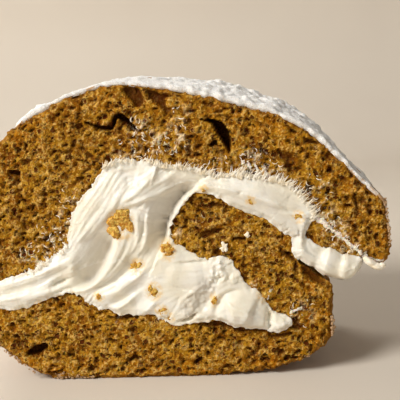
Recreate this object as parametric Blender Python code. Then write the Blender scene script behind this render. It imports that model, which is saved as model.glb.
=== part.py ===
"""A slice of Swiss roll: one sheet of sponge rolled up round a thick layer of cream.

The slice stands on the flat underside of the roll. Its two cut faces look along -Y (front) and +Y (back),
X runs across the roll and Z is up. Outlines are in millimetres, as (x, z) across the roll's section.
"""

import bmesh
import bpy
from mathutils import Vector

MM = 0.001

# Driving dimensions, in millimetres.
SLICE_WIDTH = 94.0  # across the roll, from the rounded side to the end of the outer flap
SLICE_HEIGHT = 62.6  # from the flat underside to the crown
SLICE_DEPTH = 35.0  # from one cut face to the other
JOINT_GAP = 0.3  # clearance between the sponge and the cream
SIDE_LEAN = 1.2  # how far the crown has moved to the right at the back cut
CROWN_SWELL = 0.9  # how much fuller the crown's right shoulder is towards the back
SHOULDER_X = 13.0  # middle of that fuller shoulder
SHOULDER_REACH = 11.0  # its half width
DEPTH_STEPS = 3  # sections between the cut faces
CURVE_STEPS = 2  # points made for each point of an outline
SHARP_FROM = 0.6  # edges that turn more than this many radians stay sharp

# The sponge's outside: the blunt end of the flap, then over the crown and round the left side to the underside.
FLAP_AND_CROWN = [
    (40.2, 25.5), (41.0, 24.0), (42.4, 23.3), (44.2, 24.2), (45.1, 27.4), (44.4, 32.0), (44.0, 36.4), (41.4, 39.2),
    (38.0, 42.7), (33.0, 48.0), (28.6, 51.9), (23.6, 54.8), (17.0, 57.0), (9.0, 59.4), (1.0, 61.4),
    (-6.0, 62.4), (-11.0, 62.6), (-15.6, 61.6), (-20.8, 60.0), (-25.4, 57.8), (-29.6, 55.5), (-33.6, 52.3),
    (-40.3, 45.6), (-45.9, 37.0), (-48.9, 27.6), (-47.4, 18.8), (-43.0, 12.4), (-37.6, 7.7), (-33.4, 3.6),
    (-29.8, 1.2), (-26.0, 0.0),
]  # fmt: skip
# The underside is flat from the last point above to the first point here. Then the sheet turns up on the right,
# and in again below the lobe of cream, which it doesn't quite touch.
RIGHT_TURN = [
    (8.0, 0.0), (14.5, 0.5), (21.0, 1.3), (26.2, 2.8), (30.2, 5.2), (32.6, 8.2), (33.0, 12.4), (33.2, 17.2),
    (32.8, 19.2), (31.2, 20.2), (29.5, 21.7), (27.8, 23.0), (26.1, 24.1),
]  # fmt: skip

# The cream, all the way round, from the lobe that bulges out of the roll's mouth.
LOBE = [
    (26.8, 24.7), (29.2, 23.2), (31.2, 21.4), (33.4, 20.7), (35.6, 20.0), (37.7, 21.1), (39.0, 23.0), (39.2, 24.6),
]  # fmt: skip
CREAM_UNDER_FLAP = [
    (37.6, 25.2), (35.0, 25.4), (32.8, 27.0), (30.2, 27.6), (27.9, 28.9), (27.5, 31.2), (29.2, 34.6),
    (27.4, 37.5), (24.4, 40.3), (20.0, 41.9), (15.0, 42.6), (10.2, 42.9), (5.6, 44.5),
]  # fmt: skip
CREAM_UNDER_CROWN = [
    (0.0, 45.2), (-4.6, 46.4), (-9.4, 46.9), (-12.6, 44.9), (-16.2, 40.8), (-19.6, 36.0), (-21.3, 29.9),
    (-24.4, 27.4), (-28.4, 24.6), (-33.4, 22.8), (-38.2, 21.4), (-40.4, 19.2),
]  # fmt: skip
CREAM_ON_UNDERSIDE = [
    (-38.4, 17.2), (-33.4, 16.6), (-28.8, 17.9), (-24.8, 19.3), (-20.8, 20.0), (-17.4, 17.7), (-13.2, 15.4),
    (-8.4, 14.9), (-4.0, 14.2), (-0.2, 12.1), (4.2, 12.6), (8.4, 12.8), (12.4, 11.5), (17.0, 10.8),
    (21.2, 9.7), (23.9, 11.4), (22.9, 13.0),
]  # fmt: skip
CREAM_UNDER_TONGUE = [
    (20.4, 13.9), (18.4, 17.0), (14.8, 20.2), (12.7, 23.8), (10.6, 26.1), (6.6, 25.4), (3.4, 27.2),
    (0.4, 29.4), (-0.3, 32.6), (1.4, 36.2),
]  # fmt: skip
CREAM_OVER_TONGUE = [
    (4.0, 39.2), (7.0, 40.0), (10.8, 38.8), (15.2, 36.4), (19.6, 34.4), (22.6, 31.8), (25.2, 29.9),
    (25.3, 27.0),
]  # fmt: skip

SPONGE_BROWN = (0.31, 0.15, 0.03, 1.0)
CREAM_WHITE = (0.88, 0.84, 0.75, 1.0)


def clear_scene():
    for obj in list(bpy.data.objects):
        bpy.data.objects.remove(obj, do_unlink=True)


def curve_through(points, closed=False):
    """Points on a smooth Catmull-Rom curve through the given ones, CURVE_STEPS for each."""
    knots = [Vector(p) for p in points]
    if closed:
        knots = [knots[-1], *knots, knots[0], knots[1]]
    else:
        knots = [2 * knots[0] - knots[1], *knots, 2 * knots[-1] - knots[-2]]
    made = []
    for before, start, end, after in zip(knots, knots[1:], knots[2:], knots[3:]):
        for step in range(CURVE_STEPS):
            t = step / CURVE_STEPS
            made.append(
                0.5 * (2 * start + (end - before) * t
                       + (2 * before - 5 * start + 4 * end - after) * t**2
                       + (3 * start - before - 3 * end + after) * t**3)
            )  # fmt: skip
    return made if closed else made + [knots[-2]]


def pushed_outwards(loop, distance):
    """The closed loop moved outwards by a distance. The loop runs anticlockwise seen from the front."""
    moved = []
    for i, here in enumerate(loop):
        along = (loop[(i + 1) % len(loop)] - loop[i - 1]).normalized()
        moved.append(here + distance * Vector((along.y, -along.x)))
    return moved


def section_outlines():
    """The sponge's and the cream's closed outlines, both anticlockwise seen from the front."""
    cream_points = (LOBE + CREAM_UNDER_FLAP + CREAM_UNDER_CROWN + CREAM_ON_UNDERSIDE
                    + CREAM_UNDER_TONGUE + CREAM_OVER_TONGUE)  # fmt: skip
    cream = curve_through(cream_points, closed=True)
    buried_from = CURVE_STEPS * len(LOBE)  # past the lobe, the cream lies against sponge all the way round
    against_cream = pushed_outwards(cream, JOINT_GAP)[buried_from:]
    outside = curve_through(FLAP_AND_CROWN) + curve_through(RIGHT_TURN)
    sponge = outside + against_cream[::-1]
    return sponge, cream


def fitted(outlines):
    """The outlines scaled to the slice's width and height, standing on z = 0."""
    points = [p for outline in outlines for p in outline]
    wide = SLICE_WIDTH / (max(p.x for p in points) - min(p.x for p in points))
    tall = SLICE_HEIGHT / max(p.y for p in points)
    return [[Vector((p.x * wide, max(p.y, 0.0) * tall)) for p in outline] for outline in outlines]


def at_depth(point, share):
    """Where a point of the front section has moved to at a share of the depth, 0 at the front and 1 at the back."""
    up = point.y / SLICE_HEIGHT
    off_shoulder = (point.x - SHOULDER_X) / SHOULDER_REACH
    swell = CROWN_SWELL * max(0.0, 1.0 - off_shoulder**2) ** 2 * up**4
    return Vector(
        (
            point.x + SIDE_LEAN * share * up**2,
            (share - 0.5) * SLICE_DEPTH,
            point.y + swell * share,
        )
    )


def cut_slice(name, outline, material):
    """A solid with the outline's section, from the front cut face to the back one, as one object."""
    solid = bmesh.new()
    front = solid.faces.new([solid.verts.new((p.x, -SLICE_DEPTH / 2, p.y)) for p in outline])
    grown = bmesh.ops.extrude_face_region(solid, geom=[front])["geom"]
    back_verts = [part for part in grown if isinstance(part, bmesh.types.BMVert)]
    bmesh.ops.translate(solid, verts=back_verts, vec=(0.0, SLICE_DEPTH, 0.0))
    for step in range(1, DEPTH_STEPS):
        bmesh.ops.bisect_plane(
            solid,
            geom=solid.verts[:] + solid.edges[:] + solid.faces[:],
            plane_co=(0.0, SLICE_DEPTH * (step / DEPTH_STEPS - 0.5), 0.0),
            plane_no=(0.0, 1.0, 0.0),
        )
    for vert in solid.verts:
        share = vert.co.y / SLICE_DEPTH + 0.5
        vert.co = at_depth(Vector((vert.co.x, vert.co.z)), share) * MM
    bmesh.ops.recalc_face_normals(solid, faces=solid.faces[:])
    mesh = bpy.data.meshes.new(name)
    solid.to_mesh(mesh)
    solid.free()
    mesh.materials.append(material)
    mesh.shade_smooth()
    mesh.set_sharp_from_angle(angle=SHARP_FROM)
    obj = bpy.data.objects.new(name, mesh)
    bpy.context.scene.collection.objects.link(obj)
    return obj


def plain_material(name, colour, roughness):
    material = bpy.data.materials.new(name)
    material.use_nodes = True
    shader = material.node_tree.nodes["Principled BSDF"]
    shader.inputs["Base Color"].default_value = colour
    shader.inputs["Roughness"].default_value = roughness
    shader.inputs["Metallic"].default_value = 0.0
    return material


def centre_on_origin(objects):
    """Moves the slice so that the middle of its box is over the origin."""
    corners = [vert.co for obj in objects for vert in obj.data.vertices]
    middle_x = (min(c.x for c in corners) + max(c.x for c in corners)) / 2
    for obj in objects:
        for vert in obj.data.vertices:
            vert.co.x -= middle_x


def main():
    clear_scene()
    sponge_outline, cream_outline = fitted(section_outlines())
    sponge = cut_slice("sponge", sponge_outline, plain_material("sponge", SPONGE_BROWN, 0.85))
    cream = cut_slice("cream", cream_outline, plain_material("cream", CREAM_WHITE, 0.4))
    centre_on_origin([sponge, cream])


main()
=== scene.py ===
"""The looks of a slice of rolled sponge cake: open crumb, whipped cream, crumbs, wisps and icing sugar.

Lengths are in millimetres until a mesh is finished, apart from the stage's. Tables give points of the
roll's section as (x, z), as its outline was drawn, before the slice was centred; drawn() takes them to the
slice's own frame. Y runs from the front cut face (-Y) to the back one.
"""

import math

import bmesh
import bpy
import numpy as np
from mathutils import Euler, Matrix, Vector
from mathutils.kdtree import KDTree


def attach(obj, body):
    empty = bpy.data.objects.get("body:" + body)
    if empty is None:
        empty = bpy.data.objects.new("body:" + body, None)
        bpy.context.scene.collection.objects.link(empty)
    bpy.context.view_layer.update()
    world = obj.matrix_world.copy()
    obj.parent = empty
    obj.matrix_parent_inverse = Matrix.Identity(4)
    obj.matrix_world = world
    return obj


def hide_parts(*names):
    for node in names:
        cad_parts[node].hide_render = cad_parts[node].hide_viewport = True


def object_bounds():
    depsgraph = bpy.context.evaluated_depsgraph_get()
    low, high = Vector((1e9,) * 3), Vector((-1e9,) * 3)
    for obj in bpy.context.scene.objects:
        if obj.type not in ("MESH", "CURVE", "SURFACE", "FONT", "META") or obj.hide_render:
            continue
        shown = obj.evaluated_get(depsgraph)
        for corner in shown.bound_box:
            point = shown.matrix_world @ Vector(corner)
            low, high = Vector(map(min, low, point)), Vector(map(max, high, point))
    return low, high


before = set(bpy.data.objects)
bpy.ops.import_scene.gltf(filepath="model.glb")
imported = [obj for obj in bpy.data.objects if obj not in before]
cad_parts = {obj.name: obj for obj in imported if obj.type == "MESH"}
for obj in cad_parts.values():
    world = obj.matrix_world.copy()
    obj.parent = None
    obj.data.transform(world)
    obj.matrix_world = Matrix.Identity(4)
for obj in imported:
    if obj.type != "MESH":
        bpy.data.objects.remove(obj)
CAD_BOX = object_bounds()

MM = 0.001
DRAWN_LEFT = -48.9  # the drawn x of the roll's left side
SHIFT = CAD_BOX[0].x / MM - DRAWN_LEFT
FRONT, BACK = CAD_BOX[0].y / MM, CAD_BOX[1].y / MM
DEPTH = BACK - FRONT


# ---------------------------------------------------------------- numbers


def drawn(points):
    """Drawn section points in the slice's own frame."""
    moved = np.array(points, float)
    moved[..., 0] += SHIFT
    return moved


def soft_step(values, low, high):
    t = np.clip((values - low) / (high - low), 0.0, 1.0)
    return t * t * (3.0 - 2.0 * t)


def mixed(a, b, share):
    return a + (b - a) * share


def in_space(section, y=0.0):
    """Section points as points in space, all at one depth or each at its own."""
    return np.stack([section[:, 0], np.broadcast_to(y, len(section)), section[:, 1]], axis=1)


def push_out(points, normal, amount):
    """Moves points in space along the normals of their section."""
    points[:, 0] += normal[:, 0] * amount
    points[:, 2] += normal[:, 1] * amount


LATTICE_SIDE = 64
LATTICE = np.random.default_rng(11).random((LATTICE_SIDE,) * 3)


def value_noise(points, size, shift=0.0):
    """Smooth noise from -1 to 1 whose lumps are about size mm across."""
    places = points / size + shift
    base = np.floor(places).astype(int)
    part = places - base
    part = part * part * (3.0 - 2.0 * part)
    total = np.zeros(len(points))
    for corner in np.ndindex(2, 2, 2):
        cell = (base + corner) % LATTICE_SIDE
        weight = np.prod(np.where(corner, part, 1.0 - part), axis=1)
        total += weight * LATTICE[cell[:, 0], cell[:, 1], cell[:, 2]]
    return total * 2.0 - 1.0


def rough_noise(points, size, octaves, shift=0.0):
    total, weight = 0.0, 0.0
    for octave in range(octaves):
        share = 0.5**octave
        total = total + share * value_noise(points, size * share, shift + 7.3 * octave)
        weight += share
    return total / weight


def ridged_noise(points, size, octaves, shift=0.0):
    """Noise from 0 to 1 with thin crooked ridges, like torn walls."""
    total, weight = 0.0, 0.0
    for octave in range(octaves):
        share = 0.5**octave
        noise = value_noise(points, size * share, shift + 5.9 * octave)
        total = total + share * (1.0 - np.abs(noise) * 2.0)
        weight += share
    return np.clip(total / weight, 0.0, 1.0)


DRAWN_OUT = 0.80  # a bubble's height over its length, rooted
BUBBLE_SIDE = 32
BUBBLES = np.random.default_rng(5).random((BUBBLE_SIDE,) * 3 + (4,))


def bubble_depth(points, into, lean, spacing, smallest, largest, rarity):
    """How far in the wall lies where a cut face, here at the points, has opened a bubble of the crumb.

    into is +1 where the cake lies towards +Y and -1 where it lies towards -Y. lean is the rise of the sheet
    in radians, which the bubbles are drawn out along. Radii are shares of the spacing.
    """
    places = points / spacing
    base = np.floor(places).astype(int)
    deepest = np.zeros(len(points))
    level, upright = np.cos(lean), np.sin(lean)
    for corner in np.ndindex(3, 3, 3):
        cell = base + corner - 1
        spot = BUBBLES[cell[:, 0] % BUBBLE_SIDE, cell[:, 1] % BUBBLE_SIDE, cell[:, 2] % BUBBLE_SIDE]
        radius = smallest + (largest - smallest) * spot[:, 3] ** rarity
        off = places - cell - spot[:, :3]
        drawn_out = (off[:, 0] * level + off[:, 2] * upright) * DRAWN_OUT
        squashed = (off[:, 2] * level - off[:, 0] * upright) / DRAWN_OUT
        in_plane = drawn_out**2 + squashed**2
        opened = in_plane + off[:, 1] ** 2 < radius**2
        wall = -off[:, 1] * into + np.sqrt(np.maximum(radius**2 - in_plane, 0.0))
        deepest = np.maximum(deepest, np.where(opened, wall, 0.0))
    return deepest * spacing


MANY_RUNS = 120
SAMPLE_STEP = 0.25


def nearest_runs(starts, runs, points):
    """Which of a long line's runs each point is nearest to, by a tree of samples along it."""
    counts = np.ceil(np.hypot(runs[:, 0], runs[:, 1]) / SAMPLE_STEP).astype(int) + 1
    owners = np.repeat(np.arange(len(runs)), counts)
    within = np.arange(len(owners)) - np.repeat(np.cumsum(counts) - counts, counts)
    samples = starts[owners] + ((within + 0.5) / counts[owners])[:, None] * runs[owners]
    tree = KDTree(len(samples))
    for i, (x, z) in enumerate(samples):
        tree.insert((x, z, 0.0), i)
    tree.balance()
    return owners[[tree.find((x, z, 0.0))[1] for x, z in points]]


def nearest_on(line, points, closed=True):
    """Distance to a line, length along it, its right-hand normal, and +1 where a point is on that side."""
    ends = np.roll(line, -1, axis=0) if closed else line[1:]
    starts = line if closed else line[:-1]
    runs = ends - starts
    lengths = np.maximum(np.hypot(runs[:, 0], runs[:, 1]), 1e-9)
    travelled = np.concatenate([[0.0], np.cumsum(lengths)])[:-1]
    if len(starts) > MANY_RUNS:
        best = nearest_runs(starts, runs, points)
    else:
        here = points[:, None, :] - starts[None]
        share = np.clip((here * runs).sum(2) / lengths**2, 0.0, 1.0)
        best = ((here - share[..., None] * runs) ** 2).sum(2).argmin(1)
    here = points - starts[best]
    share = np.clip((here * runs[best]).sum(1) / lengths[best] ** 2, 0.0, 1.0)
    gap = here - share[:, None] * runs[best]
    direction = runs[best] / lengths[best, None]
    normal = np.stack([direction[:, 1], -direction[:, 0]], axis=1)
    side = np.where((gap * normal).sum(1) >= 0.0, 1.0, -1.0)
    return np.hypot(gap[:, 0], gap[:, 1]), travelled[best] + share * lengths[best], normal, side


def is_inside(outline, points):
    """True for the points inside a closed outline, by counting the sides that a level line crosses."""
    inside = np.zeros(len(points), bool)
    x, z = points[:, 0], points[:, 1]
    for start, end in zip(outline, np.roll(outline, -1, axis=0)):
        spans = (start[1] > z) != (end[1] > z)
        rise = end[1] - start[1] if end[1] != start[1] else 1e-9
        crossing = start[0] + (z - start[1]) * (end[0] - start[0]) / rise
        inside ^= spans & (x < crossing)
    return inside


def smoothed_line(points, step):
    """A line of points every step mm along a smooth curve through the given ones."""
    knots = np.array(points, float)
    knots = np.vstack([2 * knots[0] - knots[1], knots, 2 * knots[-1] - knots[-2]])
    made = []
    for before, start, end, after in zip(knots, knots[1:], knots[2:], knots[3:]):
        count = max(1, int(np.hypot(*(end - start)[:2]) / step))
        for t in np.arange(count) / count:
            made.append(
                0.5 * (2 * start + (end - before) * t + (2 * before - 5 * start + 4 * end - after) * t**2
                       + (3 * start - before - 3 * end + after) * t**3)
            )  # fmt: skip
    made.append(knots[-2])
    return np.array(made)


# ---------------------------------------------------------------- the solids' sections


WELD = 0.01  # points closer than this are one
ON_CUT = 0.001  # a point this near a cut face is on it
BATCH = 20000  # points handled at a time


def cut_outline(node, side):
    """The outline of a CAD node's front (side -1) or back (side 1) cut face, anticlockwise."""
    source = bmesh.new()
    source.from_mesh(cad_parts[node].data)
    bmesh.ops.remove_doubles(source, verts=source.verts[:], dist=WELD * MM)
    level = (FRONT if side < 0 else BACK) * MM
    on_cut = {v for v in source.verts if abs(v.co.y - level) < ON_CUT * MM}
    links = {}
    for edge in source.edges:
        a, b = edge.verts
        if a in on_cut and b in on_cut and not all(on_cut.issuperset(f.verts) for f in edge.link_faces):
            links.setdefault(a, []).append(b)
            links.setdefault(b, []).append(a)
    start = min(links, key=lambda v: (round(v.co.z / MM, 3), v.co.x))
    loop, previous, here = [start], None, start
    while True:
        ahead = [v for v in links[here] if v is not previous][0]
        if ahead is start:
            break
        loop.append(ahead)
        previous, here = here, ahead
    line = np.array([(v.co.x / MM, v.co.z / MM) for v in loop])
    source.free()
    x, z = line[:, 0], line[:, 1]
    area = (x * np.roll(z, -1) - np.roll(x, -1) * z).sum()
    return line if area > 0 else np.roll(line[::-1], 1, axis=0)


SPONGE_LINE = cut_outline("sponge", -1)
CREAM_LINE = cut_outline("cream", -1)
SPONGE_MOVE = cut_outline("sponge", 1) - SPONGE_LINE


def section_move(points):
    """How far the section at the back cut face has moved from the one at the front, at these points."""
    moved = np.empty_like(points)
    for low in range(0, len(points), BATCH):
        gap = points[low : low + BATCH, None, :] - SPONGE_LINE[None]
        weight = 1.0 / (0.5 + (gap**2).sum(2)) ** 2
        moved[low : low + BATCH] = weight @ SPONGE_MOVE / weight.sum(1)[:, None]
    return moved


def verts_in(geometry):
    return [part for part in geometry if isinstance(part, bmesh.types.BMVert)]


def edges_in(geometry):
    return [part for part in geometry if isinstance(part, bmesh.types.BMEdge)]


def finished_mesh(body, name):
    mesh = bpy.data.meshes.new(name)
    body.to_mesh(mesh)
    body.free()
    return mesh


def linked_object(name, data):
    obj = bpy.data.objects.new(name, data)
    bpy.context.scene.collection.objects.link(obj)
    return obj


def slab(name, outline, spacing, rings, ringed):
    """A closed slab of the outline's section, with a fine grid over both cut faces.

    ringed says which points of the outline have a wall that shows, and takes rings of faces.
    """
    low, high = outline.min(axis=0), outline.max(axis=0)
    across, up = np.ceil((high - low) / spacing).astype(int)
    body = bmesh.new()
    bmesh.ops.create_grid(body, x_segments=int(across), y_segments=int(up), size=1.0)
    middle, half = (low + high) / 2, (high - low) / 2
    for vert in body.verts:
        vert.co = (middle[0] + vert.co.x * half[0], FRONT, middle[1] + vert.co.y * half[1])
    centres = np.array([f.calc_center_median() for f in body.faces])[:, [0, 2]]
    kept = is_inside(outline, centres)
    outside = [face for face, keep in zip(body.faces, kept) if not keep]
    bmesh.ops.delete(body, geom=outside, context="FACES")
    rim = [v for v in body.verts if v.is_boundary]
    places = np.array([v.co for v in rim])[:, [0, 2]]
    ends = np.roll(outline, -1, axis=0)
    for vert, place in zip(rim, snapped(places, outline, ends)):
        vert.co.x, vert.co.z = place
    grown = bmesh.ops.extrude_face_region(body, geom=body.faces[:])["geom"]
    bmesh.ops.translate(body, verts=verts_in(grown), vec=(0.0, DEPTH, 0.0))
    long_edges = [e for e in body.edges if abs(e.verts[0].co.y - e.verts[1].co.y) > DEPTH / 2]
    feet = np.array([e.verts[0].co for e in long_edges])[:, [0, 2]]
    shown = [edge for edge, show in zip(long_edges, ringed(feet)) if show]
    bmesh.ops.subdivide_edges(body, edges=shown, cuts=rings, use_grid_fill=True)
    bmesh.ops.recalc_face_normals(body, faces=body.faces[:])
    return finished_mesh(body, name)


def snapped(places, starts, ends):
    """The places moved to the nearest point of the outline."""
    runs = ends - starts
    here = places[:, None, :] - starts[None]
    share = np.clip((here * runs).sum(2) / (runs**2).sum(1), 0.0, 1.0)
    gap = here - share[..., None] * runs
    best = (gap**2).sum(2).argmin(1)
    row = np.arange(len(best))
    return starts[best] + share[row, best, None] * runs[best]


def read_points(mesh):
    flat = np.empty(len(mesh.vertices) * 3)
    mesh.vertices.foreach_get("co", flat)
    return flat.reshape(-1, 3)


def write_points(mesh, points):
    mesh.vertices.foreach_set("co", (points * MM).ravel())
    mesh.update()


def write_attributes(mesh, **attributes):
    """Writes values for each point that the materials read by name."""
    for name, values in attributes.items():
        layer = mesh.attributes.new(name, "FLOAT", "POINT")
        layer.data.foreach_set("value", np.ascontiguousarray(values, dtype=np.float32))


def laid_out(mesh):
    """A slab's points, their section points, where they go to, and which are on its two faces."""
    points = read_points(mesh)
    section = points[:, [0, 2]].copy()
    share = (points[:, 1] - FRONT) / DEPTH
    moved = section + share[:, None] * section_move(section)
    return points, section, in_space(moved, points[:, 1]), share < 1e-6, share > 1.0 - 1e-6


def shown_object(name, mesh, material, node=None):
    """Puts a finished mesh in the scene as one of the slice's pieces."""
    mesh.materials.append(material)
    obj = linked_object(name, mesh)
    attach(obj, "root")
    if node:
        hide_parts(node)
    return obj


# ---------------------------------------------------------------- small shapes


class Pile:
    """Many small shapes gathered into one mesh."""

    def __init__(self):
        self.points, self.faces, self.count = [], [], 0

    def add(self, points, faces):
        self.points.append(points)
        self.faces.extend([self.count + corner for corner in face] for face in faces)
        self.count += len(points)

    def mesh(self, name):
        mesh = bpy.data.meshes.new(name)
        mesh.from_pydata(np.concatenate(self.points) * MM, [], self.faces)
        mesh.shade_smooth()
        return mesh


def unit_shape(operator, **sizes):
    """The points and faces of a shape of radius 1 that a bmesh operator makes."""
    body = bmesh.new()
    operator(body, radius=1.0, **sizes)
    bmesh.ops.recalc_face_normals(body, faces=body.faces[:])
    body.verts.index_update()
    shape = np.array([v.co for v in body.verts]), [[v.index for v in face.verts] for face in body.faces]
    body.free()
    return shape


UNIT_WISP = unit_shape(bmesh.ops.create_uvsphere, u_segments=5, v_segments=5)
UNIT_GRAIN = unit_shape(bmesh.ops.create_icosphere, subdivisions=1)
UNIT_LUMP = unit_shape(bmesh.ops.create_icosphere, subdivisions=3)


# ---------------------------------------------------------------- the sponge

SPONGE_GRID = 0.32  # spacing of the grid over the cut faces
SPONGE_RINGS = 26  # rings of faces round the roll's outside
SKIN_CLEAR = 0.9  # outline points this far from the cream are on the roll's outside
WALL_CLEAR = 0.5  # and wall edges this far from it are

# Holes that a bubble or a tear has left in the front cut face: (x, z, half width) along each, and how deep.
HOLES = [
    ([(7.4, 54.6, 0.15), (9.7, 54.0, 0.55), (11.3, 52.6, 1.1), (12.2, 50.6, 1.1), (12.7, 48.8, 0.6),
      (12.9, 47.6, 0.2)], 4.4),
    ([(9.2, 49.3, 0.35), (10.1, 49.8, 0.55)], 2.4),
    ([(-10.5, 54.0, 0.4), (-9.6, 56.0, 0.55), (-8.2, 55.3, 0.65), (-6.0, 53.2, 0.5)], 3.0),
    ([(-15.8, 54.9, 0.25), (-13.4, 53.8, 0.45), (-10.8, 53.6, 0.45)], 2.4),
    ([(-32.2, 45.5, 0.6), (-30.8, 45.1, 0.7)], 1.8),
    ([(-31.6, 6.2, 0.7), (-30.2, 6.6, 1.1), (-28.4, 7.6, 0.8)], 2.4),
    ([(-7.4, 61.2, 0.7), (-5.8, 60.3, 1.5), (-4.8, 58.6, 0.9)], 1.4),
    ([(-2.4, 60.4, 0.9), (-0.9, 59.0, 1.0), (0.6, 56.6, 0.6)], 1.3),
    ([(8.1, 57.9, 0.6), (9.0, 57.3, 0.6)], 1.0),
    ([(11.2, 55.2, 0.5), (13.4, 54.8, 0.5)], 0.8),
    ([(16.6, 54.3, 0.5), (20.4, 52.6, 0.5)], 0.7),
    ([(22.6, 47.6, 0.5), (24.2, 45.6, 0.6), (24.8, 44.6, 0.4)], 1.0),
    ([(28.6, 49.3, 0.6), (30.4, 48.8, 0.5)], 1.3),
    ([(37.8, 37.4, 0.5), (38.4, 35.2, 0.4)], 1.1),
    ([(25.4, 51.6, 0.6), (26.2, 51.2, 0.5)], 1.2),
    ([(9.9, 37.1, 0.6), (10.6, 36.8, 0.5)], 1.0),
    ([(6.8, 30.8, 0.8), (8.6, 31.3, 0.8), (10.8, 32.0, 0.4)], 1.1),
    ([(12.9, 29.8, 0.4), (15.2, 29.7, 0.5)], 1.3),
    ([(16.0, 43.4, 0.4), (16.8, 43.6, 0.5)], 1.4),
    ([(4.0, 3.2, 0.6), (5.0, 3.9, 0.6)], 1.4),
    ([(-10.0, 4.0, 0.4), (-8.9, 4.8, 0.5)], 1.3),
    ([(-1.3, 7.6, 0.4), (-0.7, 8.2, 0.5)], 1.2),
    ([(-4.1, 7.3, 0.4), (-3.2, 7.6, 0.4)], 1.1),
    ([(-12.0, 13.8, 0.8), (-9.2, 14.0, 0.9)], 1.2),
    ([(21.4, 8.5, 0.7), (24.0, 9.0, 0.6)], 1.1),
    ([(4.8, 11.6, 0.4), (12.0, 10.7, 0.4)], 1.1),
    ([(21.4, 2.9, 0.4), (22.2, 2.8, 0.4)], 1.0),
    ([(24.2, 26.2, 0.6), (24.5, 25.6, 0.4)], 1.8),
    ([(26.6, 23.6, 0.3), (28.2, 22.4, 0.9), (29.8, 20.9, 1.1), (31.2, 19.6, 0.4)], 1.3),
    ([(-26.4, 18.4, 0.3), (-23.6, 19.2, 0.6), (-20.4, 19.5, 0.6), (-17.6, 17.2, 0.5),
      (-15.6, 16.2, 0.3)], 1.0),
    ([(-11.6, 14.2, 0.5), (-10.2, 13.9, 1.0), (-8.8, 14.3, 0.6)], 1.3),
    ([(-5.6, 14.6, 0.4), (-4.2, 14.7, 0.5)], 1.0),
    ([(5.0, 11.4, 0.4), (7.6, 11.6, 0.7), (11.6, 10.9, 0.4)], 1.1),
    ([(14.4, 10.0, 0.4), (18.4, 9.8, 0.4)], 1.0),
    ([(23.6, 26.3, 0.5), (24.6, 25.4, 0.5), (25.6, 24.6, 0.3)], 1.8),
    ([(12.4, 27.6, 0.4), (13.4, 27.0, 0.4)], 0.8),
    ([(14.6, 21.8, 0.6), (15.8, 21.0, 0.4)], 0.8),
    ([(33.2, 8.6, 0.5), (30.8, 11.8, 0.6)], 0.7),
]  # fmt: skip

# Where the knife has smeared thin cream over the crests of the crumb: (x, z, radius, how much).
SMEARED = [
    (2.0, 51.0, 3.4, 0.9), (-5.0, 52.6, 3.0, 0.9), (-1.0, 49.8, 2.8, 0.9), (-9.0, 49.8, 2.0, 0.6),
    (-24.5, 30.5, 4.6, 0.8), (-28.5, 27.5, 3.4, 0.9), (-22.5, 34.5, 3.0, 0.6),
    (17.5, 45.6, 3.6, 0.9), (22.0, 44.0, 2.6, 0.7), (29.5, 39.0, 3.8, 0.8), (33.5, 30.6, 3.0, 1.0),
    (31.5, 34.5, 2.6, 0.8), (1.0, 32.0, 1.5, 0.9), (6.8, 33.8, 1.6, 0.6), (26.5, 13.5, 3.0, 0.5),
    (-6.0, 48.6, 3.0, 0.5), (10.0, 45.4, 2.4, 0.6), (3.6, 55.6, 2.2, 0.4), (36.5, 26.8, 2.4, 0.8),
    (-12.0, 13.6, 1.6, 0.4), (16.6, 19.4, 1.4, 0.8), (-20.0, 40.0, 2.6, 0.4),
]  # fmt: skip

# How the rolled sheet runs at some places of the section: (x, z, its rise to the right in degrees).
SHEET_RUNS = [
    (-45.0, 25.0, 90.0), (-38.0, 42.0, 50.0), (-24.0, 52.0, 28.0), (-8.0, 55.0, 5.0), (8.0, 52.0, -12.0),
    (24.0, 46.0, -35.0), (36.0, 36.0, -55.0), (42.0, 28.0, -70.0), (-36.0, 14.0, -30.0), (-20.0, 9.0, 0.0),
    (0.0, 6.0, 0.0), (20.0, 6.0, 5.0), (30.0, 12.0, 80.0), (28.0, 18.0, 120.0), (16.0, 28.0, 145.0),
    (6.0, 34.0, 150.0),
]  # fmt: skip


# The crumb's bubbles: a shift of their lattice, its spacing, radii from and to, and how rare wide ones are.
BUBBLE_SIZES = [(0.0, 4.6, 0.10, 0.26, 1.8), (50.0, 2.0, 0.14, 0.40, 1.2), (90.0, 1.05, 0.24, 0.50, 0.9)]


def sheet_lean(points):
    """The rise of the rolled sheet at each point, in radians."""
    runs = np.array(SHEET_RUNS)
    double = np.radians(2.0 * runs[:, 2])
    gap = (points[:, 0, None] - SHIFT - runs[:, 0]) ** 2 + (points[:, 2, None] - runs[:, 1]) ** 2
    weight = 1.0 / (9.0 + gap) ** 2
    return np.arctan2(weight @ np.sin(double), weight @ np.cos(double)) / 2.0


def crumb_places(points):
    """Coordinates in the crumb, stirred a little so that no bubble is too round."""
    places = points.copy()
    for axis, shift in enumerate((3.0, 17.0, 31.0)):
        places[:, axis] += 0.40 * value_noise(points, 1.2, shift)
        places[:, axis] += 0.22 * value_noise(points, 0.6, shift + 5.0)
    return places


def inside_line(section, line, step):
    """How far inside a line of (x, z, half width) each section point is, below 0 outside it."""
    steps = smoothed_line(drawn(line), step)
    gap = np.hypot(section[:, 0, None] - steps[None, :, 0], section[:, 1, None] - steps[None, :, 1])
    return (steps[None, :, 2] - gap).max(axis=1)


def hole_depth(section):
    """Depth of the holes in the front face at section points."""
    deepest = np.zeros(len(section))
    wander = 0.21 * rough_noise(in_space(section), 1.6, 2, 40.0)
    for line, depth in HOLES:
        inside = inside_line(section, line, 0.35) - wander
        deepest = np.maximum(deepest, depth * soft_step(inside, -0.10, 0.32))
    return deepest


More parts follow.
